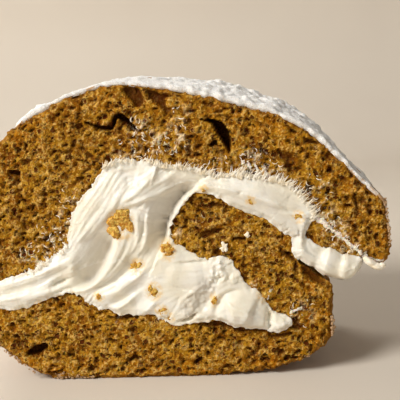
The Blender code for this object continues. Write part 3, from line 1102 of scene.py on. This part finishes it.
def add_cluster(pile, place, half_sizes, tilt, seed, pieces):
    """A ragged flat crumb made of a few lumps that have stuck together."""
    lots = np.random.default_rng(int(seed * 10.0) + 300)
    turn = Euler((0.0, math.radians(tilt), 0.0))
    wide, thick, tall = half_sizes
    for i in range(pieces):
        angle, reach = lots.uniform(0.0, 2.0 * math.pi), 0.72 * math.sqrt(lots.uniform(0.0, 1.0))
        out = lots.uniform(-0.2, 0.2) * thick
        off = Vector((reach * wide * math.cos(angle), out, reach * tall * math.sin(angle)))
        off.rotate(turn)
        if i == 0:
            off, reach = Vector(), 0.0
        size = lots.uniform(0.30, 0.52) * (1.3 - 0.6 * reach)
        shares = [lots.uniform(*limits) for limits in ((0.8, 1.3), (0.6, 1.0), (0.8, 1.3))]
        spread = np.array([size * wide, thick, size * tall]) * shares
        turns = [lots.normal(0.0, spread_of) for spread_of in (0.2, 0.8, 0.2)]
        own_turn = Euler((turns[0], math.radians(tilt) + turns[1], turns[2]))
        add_lump(pile, UNIT_LUMP, Vector(place) + off, spread, own_turn, seed + 3.7 * i, 0.6)


def make_crumbs(material, relief):
    pile = Pile()
    places = drawn([(x, z) for x, z, *_ in CRUMBS])
    rises = relief.height(places, 1)
    for i, (place, rise, crumb) in enumerate(zip(places, rises, CRUMBS)):
        _, _, half_width, half_height, tilt = crumb
        thickness = 0.30 * min(half_width, half_height) + 0.12
        at = (place[0], FRONT - rise + 0.55 * thickness, place[1])
        pieces = 4 + int(4.0 * half_height)
        add_cluster(pile, at, (1.1 * half_width, thickness, 1.1 * half_height), tilt, i + 1.0, pieces)
    return shown_object("crumbs_in_cream", pile.mesh("crumbs_in_cream"), material)


# ---------------------------------------------------------------- cream on the crumb

# Dabs of cream on the sponge: (x, z, half width, half height, tilt in degrees, how thick, lumps in it).
DABS = [
    (11.0, 28.3, 0.6, 1.3, 12.0, 0.6, 9), (15.7, 30.7, 0.65, 0.6, 20.0, 0.6, 9),
    (40.7, 24.1, 1.8, 0.75, 38.0, 1.6, 1), (41.9, 23.2, 1.4, 0.7, 20.0, 1.5, 1),
    (43.0, 23.2, 0.9, 0.6, -15.0, 1.2, 1),
]  # fmt: skip


def make_dabs(material):
    """The dabs of cream on the front crumb, as one piece."""
    pile = Pile()
    for i, (x, z, half_width, half_height, tilt, out, lumps) in enumerate(DABS):
        place, half_sizes = (x + SHIFT, FRONT - 0.15 * out, z), (half_width, 0.5 * out, half_height)
        if lumps == 1:
            turn = Euler((0.0, math.radians(tilt), 0.0))
            add_lump(pile, UNIT_LUMP, place, half_sizes, turn, i + 0.5, 0.35)
        else:
            add_cluster(pile, place, half_sizes, tilt, i + 0.5, lumps)
    return shown_object("cream_dabs", pile.mesh("cream_dabs"), material)


# ---------------------------------------------------------------- icing sugar

SUGAR_STEP = 0.36  # spacing of the sugar's grid
SUGAR_FROM = 26.0  # the sheet of sugar starts this far up the blunt end of the flap
SUGAR_RIM = 0.9  # how far in from a cut face the sugar is thinner
SUNK = -0.7  # where the underside of the sugar lies in the skin

# How thick the sugar lies along the skin, bare below 0: (x, thickness), left to right.
SUGAR_COVER = [
    (-49.0, -0.6), (-44.0, -0.45), (-36.0, -0.45), (-30.0, -0.35), (-27.6, 0.55), (-25.0, 0.60),
    (-22.5, 0.24), (-10.0, 0.24), (-2.0, 0.30), (4.0, 0.60), (12.0, 1.05), (18.0, 0.90), (26.0, 0.55),
    (35.0, 0.40), (41.0, 0.20), (42.8, 0.10), (43.8, 0.00), (44.4, -0.10), (45.0, -0.20),
]  # fmt: skip


def sugar_sheet(count, rows):
    """A closed flat sheet of sides 1: X along the skin, Y from cut to cut, and Z 0 below and 1 on top."""
    body = bmesh.new()
    bmesh.ops.create_grid(body, x_segments=count, y_segments=rows, size=1.0)
    for vert in body.verts:
        vert.co = ((vert.co.x + 1.0) / 2.0, (vert.co.y + 1.0) / 2.0, 0.0)
    grown = bmesh.ops.extrude_face_region(body, geom=body.faces[:])["geom"]
    bmesh.ops.translate(body, verts=verts_in(grown), vec=(0.0, 0.0, 1.0))
    bmesh.ops.recalc_face_normals(body, faces=body.faces[:])
    return finished_mesh(body, "icing_sugar")


def sugar_cover(section, depth, from_end):
    """How thick the sugar lies before it clumps: as given at the front, and drifted about behind it."""
    x, cover = np.array(SUGAR_COVER).T
    drift = 9.0 * rough_noise(in_space(section, depth), 7.0, 3, 52.0) * soft_step(depth, 0.8, 6.0)
    thickness = np.interp(section[:, 0] - SHIFT + drift, x, cover)
    return mixed(np.minimum(thickness, -0.5), thickness, soft_step(from_end, 1.0, 6.0))


def clumped(thickness, placed):
    """The sugar's thickness with its lumps and finer clumps, which bare skin doesn't have."""
    turned = placed @ np.array(Euler((0.5, 0.7, 0.9)).to_matrix())
    lumps = np.maximum(rough_noise(turned, 3.4, 2, 44.0), -0.2)
    clumps = rough_noise(turned, 1.2, 3, 48.0)
    thickness = thickness + 1.1 * np.maximum(lumps, 0.0) * soft_step(thickness, 0.1, 0.9) + 0.25 * lumps
    return thickness + 0.65 * clumps * soft_step(thickness, -0.2, 0.6)


def make_sugar(material):
    """A lumpy layer of sugar over the crown, thin at the sides, with bare patches in it."""
    skin = skin_line()
    skin = skin[: np.argmin(skin[:, 0]) + 6]
    line = smoothed_line(skin[np.argmax(skin[:, 1] > SUGAR_FROM) :], SUGAR_STEP)
    last = len(line) - 1
    mesh = sugar_sheet(last, int(DEPTH / SUGAR_STEP))
    along, across, upper = read_points(mesh).T
    top, depth, index = upper > 0.5, across * DEPTH, along * last
    low = np.clip(np.floor(index).astype(int), 0, last - 1)
    section = mixed(line[low], line[low + 1], (index - low)[:, None])
    tangent = line[np.clip(low + 3, 0, last)] - line[np.clip(low - 3, 0, last)]
    tangent /= np.hypot(*tangent.T)[:, None]
    outward = np.stack([tangent[:, 1], -tangent[:, 0]], axis=1)

    # Where the skin is bare, the sheet is sunk in it and drawn back from the cut faces.
    thickness = sugar_cover(section, depth, SUGAR_STEP * np.minimum(index, last - index))
    bare = soft_step(-thickness, 0.0, 0.35)
    inset = np.where(top, 0.05, 0.6) + 3.0 * bare
    edge_play = 0.35 * value_noise(in_space(section), 1.3, 3.0)
    y = FRONT + inset + edge_play * (1 - across) + across * (DEPTH - 2 * inset)
    placed = in_space(section + across[:, None] * section_move(section), y)
    rim = soft_step(np.minimum(depth, DEPTH - depth), 0.0, SUGAR_RIM)
    thickness = clumped(thickness, placed) * mixed(0.75, 1.0, rim) - 0.07
    push_out(placed, outward, np.where(top, np.maximum(thickness, -0.45), SUNK) - 0.8 * bare)
    write_points(mesh, placed)
    write_attributes(mesh, thick=np.clip(thickness, 0.0, 2.0) / 2.0)
    mesh.shade_smooth()
    return shown_object("icing_sugar", mesh, material)


# Where loose sugar clings: (x, z, spread) along each line, and how many grains.
CLINGING = [
    ([(43.9, 37.0, 0.15), (44.5, 32.0, 0.1), (44.8, 27.6, 0.15)], 90),
    ([(32.7, 12.6, 0.1), (33.0, 10.4, 0.25), (32.7, 8.4, 0.1)], 90),
    ([(-26.0, 0.6, 0.4), (-22.5, 0.7, 0.5), (-18.5, 0.5, 0.2)], 160),
    ([(-39.0, 9.0, 0.15), (-35.6, 5.8, 0.15), (-30.8, 2.0, 0.2)], 60),
    ([(25.6, 3.2, 0.2), (28.0, 4.4, 0.2)], 30),
]  # fmt: skip
GRAIN_SIZES = (0.12, 0.30)  # half of a grain, from and to


def make_grains(material):
    """Loose sugar clinging to the edges of the front cut face."""
    lots = np.random.default_rng(52)
    pile = Pile()
    for line, count in CLINGING:
        steps = smoothed_line(drawn(line), 0.3)
        for _ in range(count):
            x, z, spread = steps[lots.integers(len(steps))]
            half = lots.uniform(*GRAIN_SIZES)
            place = (
                x + lots.normal(0.0, spread),
                FRONT + 0.2 + abs(lots.normal(0.0, 0.7)),
                max(z + lots.normal(0.0, spread), 2.0 * half),
            )
            turn = Euler(lots.uniform(0.0, math.pi, 3))
            half_sizes = half * lots.uniform(0.6, 1.4, 3)
            add_lump(pile, UNIT_GRAIN, place, half_sizes, turn, lots.uniform(0.0, 50.0), 0.5)
    return shown_object("sugar_grains", pile.mesh("sugar_grains"), material)


# ---------------------------------------------------------------- materials


class Nodes:
    """A short way to write a material's nodes."""

    def __init__(self, name):
        self.material = bpy.data.materials.new(name)
        self.material.use_nodes = True
        self.tree = self.material.node_tree
        self.shader = self.tree.nodes["Principled BSDF"]

    def add(self, kind, settings=None, **inputs):
        node = self.tree.nodes.new(kind)
        for key, value in (settings or {}).items():
            setattr(node, key, value)
        for key, value in inputs.items():
            socket = node.inputs[int(key[1:])] if key[0] == "i" and key[1:].isdigit() else node.inputs[key]
            self.feed(socket, value)
        return node

    def feed(self, socket, value):
        if isinstance(value, bpy.types.NodeSocket):
            self.tree.links.new(value, socket)
        else:
            socket.default_value = value

    def place(self):
        """Object coordinates in millimetres."""
        coordinates = self.add("ShaderNodeTexCoord").outputs["Object"]
        return self.vector_maths("SCALE", Vector=coordinates, Scale=1.0 / MM)

    def shifted(self, place, far):
        return self.vector_maths("ADD", i0=place, i1=(far, far, far))

    def vector_maths(self, operation, **inputs):
        return self.add("ShaderNodeVectorMath", {"operation": operation}, **inputs).outputs[0]

    def attribute(self, name):
        return self.add("ShaderNodeAttribute", {"attribute_name": name}).outputs["Fac"]

    def noise(self, place, size, detail=3.0, rough=0.55):
        """Noise whose lumps are about size mm across."""
        settings = {"Scale": 1.0 / size, "Detail": detail, "Roughness": rough}
        return self.add("ShaderNodeTexNoise", Vector=place, **settings).outputs["Fac"]

    def cells(self, place, size):
        return self.add("ShaderNodeTexVoronoi", Vector=place, Scale=1.0 / size).outputs["Distance"]

    def span(self, value, low, high, to_low=0.0, to_high=1.0):
        """Eases a value from one range to another."""
        node = self.add("ShaderNodeMapRange", {"interpolation_type": "SMOOTHSTEP"}, Value=value)
        for key, number in (("From Min", low), ("From Max", high), ("To Min", to_low), ("To Max", to_high)):
            node.inputs[key].default_value = number
        return node.outputs["Result"]

    def maths(self, operation, a, b):
        return self.add("ShaderNodeMath", {"operation": operation}, i0=a, i1=b).outputs[0]

    def times(self, a, b):
        return self.maths("MULTIPLY", a, b)

    def sum_of(self, *terms):
        """The terms added up, each of them a value, or a value and what it is multiplied by."""
        total, *rest = [self.times(*term) if isinstance(term, tuple) else term for term in terms]
        for term in rest:
            total = self.maths("ADD", total, term)
        return total

    def mix(self, share, a, b):
        """Colour a turning to colour b as the share goes from 0 to 1."""
        node = self.add("ShaderNodeMix", {"data_type": "RGBA"})
        self.feed(node.inputs[0], share)
        self.feed(node.inputs[6], a)
        self.feed(node.inputs[7], b)
        return node.outputs[2]

    def painted(self, tone, *coats):
        """A tone with coats over it, each a share and the colour that it brings."""
        for share, tint in coats:
            tone = self.mix(share, tone, tint)
        return tone

    def bump(self, height, depth_mm, strength):
        node = self.add("ShaderNodeBump", Height=height, Distance=depth_mm * MM, Strength=strength)
        return node.outputs["Normal"]

    def finish(self, spread=None, **inputs):
        """spread is how light travels inside: its weight, its reach in each colour, and that reach in mm."""
        if spread:
            weight, radius, scale_mm = spread
            inputs |= {"Subsurface Weight": weight, "Subsurface Radius": radius}
            inputs["Subsurface Scale"] = scale_mm * MM
        for key, value in inputs.items():
            self.feed(self.shader.inputs[key.replace("_", " ")], value)
        return self.material


def colour(red, green, blue):
    """A colour given as 0-255 display values."""
    channels = [c / 255.0 for c in (red, green, blue)]
    return tuple(c / 12.92 if c <= 0.04045 else ((c + 0.055) / 1.055) ** 2.4 for c in channels) + (1.0,)


def pits(n, place, size, share, widest):
    """Pits of one size, in this share of the cells: how far inside one a point is, and how near its rim."""
    cells = n.add("ShaderNodeTexVoronoi", Vector=place, Scale=1.0 / size)
    chance = n.add("ShaderNodeSeparateColor", Color=cells.outputs["Color"]).outputs[0]
    radius = n.span(chance, 1.0 - share, 1.0, -0.3, widest)
    inside = n.maths("SUBTRACT", radius, cells.outputs["Distance"])
    rim = n.times(n.span(inside, -0.14, -0.03), n.span(inside, 0.08, -0.01))
    return n.span(inside, -0.03, 0.12), n.times(rim, n.span(chance, 1.0 - share, 1.05 - share))


def crumb_pattern(n, place):
    """The fine crumb over two sizes of pit: the painted shade that darkens each pit, and the painted
    highlight on its rim.
    """
    wander = n.add("ShaderNodeTexNoise", Vector=place, Scale=1.2, Detail=3.0).outputs["Color"]
    stirred = n.vector_maths("MULTIPLY_ADD", i0=wander, i1=(1.1, 1.1, 1.1), i2=place)
    pit, rim = pits(n, stirred, 1.35, 0.70, 0.46)
    small_pit, small_rim = pits(n, stirred, 0.75, 0.60, 0.44)
    shaded_pits = n.maths("MAXIMUM", pit, n.times(small_pit, 0.7))
    return shaded_pits, n.maths("MAXIMUM", rim, n.times(small_rim, 0.8))


def sponge_material():
    n = Nodes("spiced_sponge")
    place = n.place()
    pore, crest, crust, hole = (n.attribute(key) for key in ("pore", "crest", "crust", "hole"))
    patches = n.noise(place, 4.0, 3.0)
    wide_patches = n.noise(n.shifted(place, 90.0), 9.0, 2.0)
    lumps = n.noise(place, 1.5, 2.0, 0.5)
    flakes = n.noise(n.shifted(place, 20.0), 1.0, 2.0, 0.55)
    grain = n.noise(place, 0.42, 1.0, 0.5)
    # Pale flecks, painted glints.
    glint_flecks = n.noise(n.shifted(place, 40.0), 0.55, 2.0, 0.5)
    shaded_pits, lit_rims = crumb_pattern(n, place)
    # A warmer orange within a few mm of the skin: painted glow, as of light shining through the thin crumb
    # there.
    skin_glow = n.times(n.attribute("near_skin"), n.span(n.noise(place, 3.0, 2.0), 0.42, 0.64))
    skin = n.mix(n.span(n.noise(place, 1.6, 4.0), 0.35, 0.65), colour(158, 106, 28), colour(118, 74, 18))
    web = n.maths("MAXIMUM", n.times(crest, 0.8), lit_rims)
    web = n.times(web, n.span(n.noise(n.shifted(place, 70.0), 1.3, 2.0), 0.42, 0.52))
    web = n.times(n.attribute("smear"), web)
    coat = cream_coat(n, place, n.attribute("coat"))
    tone = n.painted(
        n.mix(n.span(patches, 0.38, 0.62), colour(166, 116, 18), colour(141, 88, 5)),
        (n.span(wide_patches, 0.50, 0.64, 0.0, 0.6), colour(189, 140, 31)),
        (n.span(lumps, 0.50, 0.60), colour(185, 137, 37)),
        (n.span(flakes, 0.46, 0.36, 0.0, 0.75), colour(122, 66, 6)),
        # Painted glow near the skin.
        (n.times(skin_glow, 0.6), colour(186, 116, 10)),
        (n.span(grain, 0.44, 0.36, 0.0, 0.5), colour(92, 44, 2)),
        # Painted glints.
        (n.span(glint_flecks, 0.58, 0.63, 0.0, 0.8), colour(219, 172, 78)),
        # Painted highlight on the pits' rims.
        (n.times(lit_rims, 0.85), colour(223, 176, 82)),
        # Painted shade in the pits.
        (n.times(shaded_pits, 0.95), colour(84, 34, 0)),
        # Painted shade, deeper where the pores are deeper.
        (n.times(pore, 0.85), colour(82, 34, 1)),
        # Painted highlight on the torn walls' crests.
        (n.times(crest, n.span(glint_flecks, 0.42, 0.54, 0.0, 0.7)), colour(224, 184, 104)),
        # Painted shade in the holes.
        (n.times(hole, 0.92), colour(64, 34, 2)),
        (n.times(crust, 0.6), skin),
        (web, colour(255, 240, 208)),
        (coat, colour(242, 232, 216)),
    )
    height = n.sum_of((grain, 0.35), (glint_flecks, 0.6), flakes, (shaded_pits, -1.1), (lit_rims, 0.35), (web, 0.4))
    height = n.sum_of((height, n.span(coat, 0.0, 1.0, 1.0, 0.4)), (coat, 0.4))
    return n.finish(
        Base_Color=tone,
        Roughness=n.span(grain, 0.3, 0.7, 0.46, 0.66),
        Normal=n.bump(height, 0.60, 1.0),
        Specular_IOR_Level=0.07,
        spread=(0.25, (1.0, 0.42, 0.12), 0.4),
    )


def cream_coat(n, place, coat):
    """Ragged coats of cream, as a blade leaves them on the crumb: 1 on the cream."""
    return n.span(n.sum_of(coat, (n.noise(n.shifted(place, 30.0), 0.8, 3.0, 0.6), 1.6)), 1.27, 1.36)


def crumb_material():
    n = Nodes("loose_crumb")
    place = n.place()
    grain = n.noise(place, 0.8, 4.0, 0.65)
    fine = n.cells(place, 0.5)
    tone = n.painted(
        n.mix(n.span(grain, 0.40, 0.62), colour(186, 124, 20), colour(236, 192, 92)),
        (n.span(fine, 0.30, 0.10, 0.0, 0.8), colour(128, 70, 3)),
    )
    return n.finish(
        Base_Color=tone,
        Roughness=0.6,
        Normal=n.bump(n.maths("SUBTRACT", grain, fine), 0.3, 0.8),
        Specular_IOR_Level=0.4,
        spread=(0.25, (1.0, 0.5, 0.2), 0.6),
    )


def cream_material():
    n = Nodes("whipped_cream")
    place = n.place()
    stain, edge, hollow = n.attribute("stain"), n.attribute("edge"), n.attribute("hollow")
    tone = n.painted(
        n.mix(n.span(n.noise(place, 7.0, 2.0), 0.35, 0.65), colour(239, 236, 227), colour(236, 230, 213)),
        # Painted shade, greyer in the broad hollows and the shaded places.
        (n.times(hollow, 0.85), colour(202, 194, 180)),
        (n.times(stain, n.span(n.noise(place, 0.9, 3.0), 0.4, 0.6, 0.1, 0.75)), colour(236, 202, 138)),
        (n.times(edge, n.span(n.noise(place, 1.1, 3.0), 0.45, 0.7, 0.0, 0.5)), colour(222, 190, 140)),
    )
    bubbles = n.span(n.cells(place, 0.6), 0.22, 0.05)
    return n.finish(
        Base_Color=tone,
        Roughness=n.span(n.noise(place, 2.0, 3.0), 0.3, 0.7, 0.34, 0.5),
        Normal=n.bump(n.sum_of(n.noise(place, 0.5, 3.0), (bubbles, -0.5)), 0.05, 0.8),
        Specular_IOR_Level=0.45,
        spread=(0.5, (1.0, 0.9, 0.8), 0.9),
    )


def thin_cream_material():
    """Cream in dabs and wisps too thin for light to spread in."""
    n = Nodes("thin_cream")
    place = n.place()
    tone = n.mix(n.span(n.noise(place, 1.4, 3.0), 0.4, 0.6), colour(253, 247, 234), colour(248, 234, 206))
    return n.finish(
        Base_Color=tone,
        Roughness=0.55,
        Normal=n.bump(n.noise(place, 0.3, 3.0), 0.06, 0.8),
        Specular_IOR_Level=0.3,
    )


def sugar_material():
    n = Nodes("icing_sugar")
    grain = n.noise(n.place(), 0.35, 4.0, 0.7)
    tone = n.painted(
        n.mix(n.span(grain, 0.38, 0.56), colour(228, 224, 217), colour(255, 254, 252)),
        (n.span(n.attribute("thick"), 0.05, 0.0, 0.0, 0.85), colour(180, 132, 66)),
    )
    return n.finish(
        Base_Color=tone,
        Roughness=0.85,
        Normal=n.bump(grain, 0.35, 0.9),
        Specular_IOR_Level=0.3,
        spread=(0.3, (1.0, 0.9, 0.8), 0.4),
    )


def table_material():
    n = Nodes("pale_table")
    tone = n.mix(n.noise(n.place(), 60.0, 2.0), colour(216, 206, 193), colour(222, 213, 200))
    return n.finish(Base_Color=tone, Roughness=0.55, Specular_IOR_Level=0.2)


# ---------------------------------------------------------------- stage, camera, lights

# These four, and the places and sizes of the lights, are in metres.
FLOOR_HALF = 2.0
WALL_START = 0.28
WALL_CURVE = 0.10
WALL_TOP = 0.34


def make_floor():
    """A pale table that sweeps up to a low wall well behind the slice."""
    body = bmesh.new()
    corners = [body.verts.new((x, -FLOOR_HALF, 0.0)) for x in (-FLOOR_HALF, FLOOR_HALF)]
    flat = bmesh.ops.extrude_edge_only(body, edges=[body.edges.new(corners)])["geom"]
    moved = verts_in(flat)
    bmesh.ops.translate(body, verts=moved, vec=(0.0, FLOOR_HALF + WALL_START, 0.0))
    spun = bmesh.ops.spin(
        body,
        geom=moved + [edge for edge in edges_in(flat) if set(edge.verts) == set(moved)],
        cent=(0.0, WALL_START, WALL_CURVE),
        axis=(1.0, 0.0, 0.0),
        angle=math.pi / 2,
        steps=24,
        use_duplicate=False,
    )["geom_last"]
    raised = bmesh.ops.extrude_edge_only(body, edges=edges_in(spun))["geom"]
    bmesh.ops.translate(body, verts=verts_in(raised), vec=(0.0, 0.0, WALL_TOP - WALL_CURVE))
    bmesh.ops.remove_doubles(body, verts=body.verts[:], dist=1e-6)
    bmesh.ops.recalc_face_normals(body, faces=body.faces[:])
    if next(iter(body.faces)).normal.z < 0:
        bmesh.ops.reverse_faces(body, faces=body.faces[:])
    mesh = finished_mesh(body, "floor")
    mesh.shade_smooth()
    mesh.materials.append(table_material())
    linked_object("floor", mesh)


CAMERA_PLACE = (15.75, -177.5, 67.86)
CAMERA_AIM = (3.32, 79.53, -2.76)  # turn to the left, pitch up from straight down, and roll, in degrees


def make_camera():
    """Level with the crown and close to the front cut face, as a slice is seen from the table's edge."""
    data = bpy.data.cameras.new("camera")
    data.lens, data.sensor_width = 72.0, 36.0
    camera = linked_object("camera", data)
    camera.location = Vector((CAMERA_PLACE[0] + SHIFT, *CAMERA_PLACE[1:])) * MM
    turn, pitch, roll = (
        Matrix.Rotation(math.radians(angle), 3, axis) for angle, axis in zip(CAMERA_AIM, ("Z", "X", "Z"))
    )
    camera.rotation_euler = (turn @ pitch @ roll).to_euler()
    bpy.context.scene.camera = camera


def add_light(name, place, target, size, power, tint):
    data = bpy.data.lights.new(name, "AREA")
    data.shape, data.size = "DISK", size
    data.energy, data.color = power, tint
    light = linked_object(name, data)
    light.location = place
    light.rotation_euler = (Vector(target) - Vector(place)).to_track_quat("-Z", "Y").to_euler()


def make_light():
    target = (0.0, 0.0, 0.03)
    add_light("window", (-0.50, -0.46, 0.56), target, 0.35, 8.1, (1.0, 0.97, 0.92))
    add_light("back_glow", (-0.35, 0.45, 0.5), target, 0.4, 2.6, (1.0, 0.95, 0.88))
    add_light("front_fill", (0.60, -0.60, 0.35), target, 0.7, 0.6, (1.0, 0.96, 0.91))
    world = bpy.data.worlds.new("studio")
    world.use_nodes = True
    background = world.node_tree.nodes["Background"]
    background.inputs["Color"].default_value = colour(226, 217, 206)
    background.inputs["Strength"].default_value = 0.20
    bpy.context.scene.world = world
    bpy.context.scene.view_settings.view_transform = "Standard"


def main():
    sponge = sponge_material()
    crumb = crumb_material()
    relief = CreamRelief(cream_outline())
    make_sponge(sponge)
    cream = cream_material()
    make_cream(cream, relief)
    thin_cream = thin_cream_material()
    make_wisps(thin_cream, relief)
    make_dabs(thin_cream)
    make_crumbs(crumb, relief)
    sugar = sugar_material()
    make_sugar(sugar)
    make_grains(sugar)
    make_floor()
    make_camera()
    make_light()


main()
